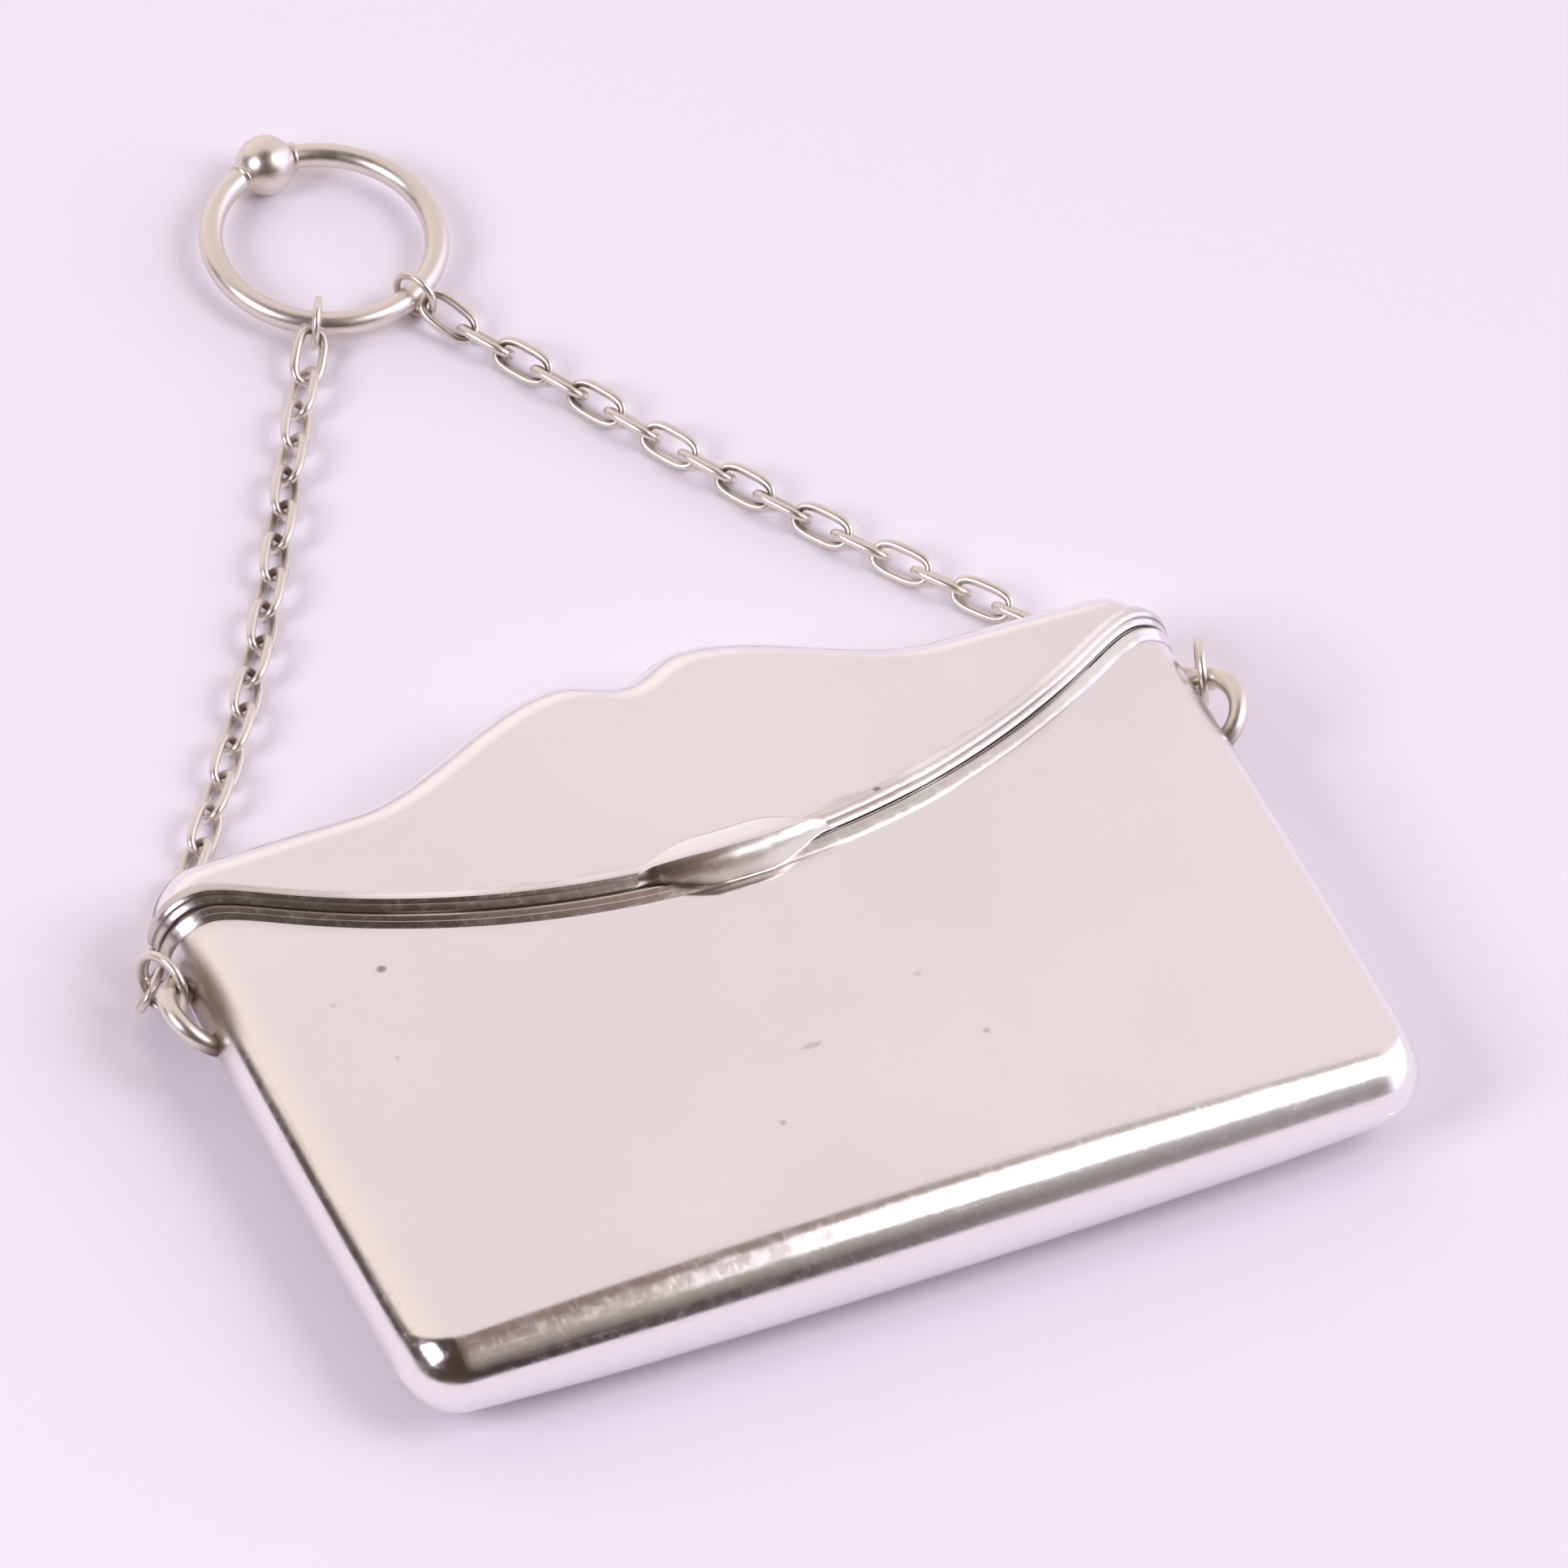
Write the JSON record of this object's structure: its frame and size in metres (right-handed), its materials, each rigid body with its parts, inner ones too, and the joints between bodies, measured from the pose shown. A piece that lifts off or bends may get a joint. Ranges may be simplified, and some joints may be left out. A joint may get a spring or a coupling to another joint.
{
  "type": "calling card case",
  "caption": "Flat purse-shaped silver case for calling cards, with a hinged crested lid, side loops and a chain of two strands that ends in a finger ring with a ball.",
  "frame": {"origin": "middle of the flat on the back of the body, 31 mm above the bottom edge", "axes": "+X across the case, +Y up the case towards the finger ring, +Z out of the front; the case lies on its back"},
  "size_m": [0.1018, 0.142, 0.0129],
  "materials": {
    "sheet_silver": "polished silver sheet, softly worn",
    "wire_silver": "polished silver wire, softly worn",
    "pin_steel": "plain drawn pin"
  },
  "bodies": {
    "case_body": {"body_front_shell": "sheet_silver", "body_back_shell": "sheet_silver", "body_rim": "sheet_silver", "mouth_liner": "sheet_silver", "body_hinge_leaf": "sheet_silver", "hinge_pin": "pin_steel", "left_side_loop": "wire_silver", "right_side_loop": "wire_silver", "left_jump_ring": "wire_silver", "right_jump_ring": "wire_silver"},
    "lid": {"lid_front_shell": "sheet_silver", "lid_back_shell": "sheet_silver", "lid_rim": "sheet_silver", "thumb_piece": "sheet_silver", "lid_hinge_leaf": "sheet_silver"},
    "first_links": {"left_first_link": "wire_silver", "right_first_link": "wire_silver"},
    "chain_root": {"left_chain_root": "wire_silver", "right_chain_root": "wire_silver"},
    "fold_links": {"left_fold_link": "wire_silver", "right_fold_link": "wire_silver"},
    "chain_outer": {"left_chain": "wire_silver", "right_chain": "wire_silver"},
    "last_links": {"left_last_link": "wire_silver", "right_last_link": "wire_silver"},
    "end_rings": {"left_end_ring": "wire_silver", "right_end_ring": "wire_silver"},
    "ring": {"finger_ring": "wire_silver", "ring_ball": "wire_silver", "ring_collars": "wire_silver"}
  },
  "joints": [
    {"name": "lid_open", "type": "hinge", "parent": "case_body", "child": "lid", "pos_m": [0, 0.02403, 0.0001], "axis": [-1, 0, 0], "range_deg": [0, 95]},
    {"name": "chain_swing_at_jump_rings", "type": "hinge", "parent": "case_body", "child": "first_links", "pos_m": [0, 0.02187, 0.00626], "axis": [-1, 0, 0], "range_deg": [0, 50]},
    {"name": "chain_swing_at_first_links", "type": "hinge", "parent": "first_links", "child": "chain_root", "pos_m": [0, 0.0242, 0.0017], "axis": [-1, 0, 0], "range_deg": [0, 50]},
    {"name": "chain_fold", "type": "hinge", "parent": "chain_root", "child": "fold_links", "pos_m": [0, 0.04352, 0.00043], "axis": [1, 0, 0], "range_deg": [0, 50]},
    {"name": "chain_fold_second", "type": "hinge", "parent": "fold_links", "child": "chain_outer", "pos_m": [0, 0.04672, 0.00108], "axis": [1, 0, 0], "range_deg": [0, 50]},
    {"name": "ring_flip", "type": "hinge", "parent": "chain_outer", "child": "last_links", "pos_m": [0, 0.08408, 0.00016], "axis": [1, 0, 0], "range_deg": [0, 45]},
    {"name": "ring_flip_at_end_rings", "type": "hinge", "parent": "last_links", "child": "end_rings", "pos_m": [0, 0.08792, 0.002], "axis": [1, 0, 0], "range_deg": [0, 45]},
    {"name": "finger_ring_turn", "type": "hinge", "parent": "end_rings", "child": "ring", "pos_m": [0, 0.0984, 0.0018], "axis": [0, -0.03, 0.9996], "range_deg": [-130, 115]}
  ],
  "couplings": [
    {"joint": "chain_swing_at_jump_rings", "follows": "lid_open", "ratio": 0.526},
    {"joint": "chain_swing_at_first_links", "follows": "lid_open", "ratio": 0.526},
    {"joint": "chain_fold_second", "follows": "chain_fold", "ratio": 1},
    {"joint": "ring_flip_at_end_rings", "follows": "ring_flip", "ratio": 1}
  ]
}
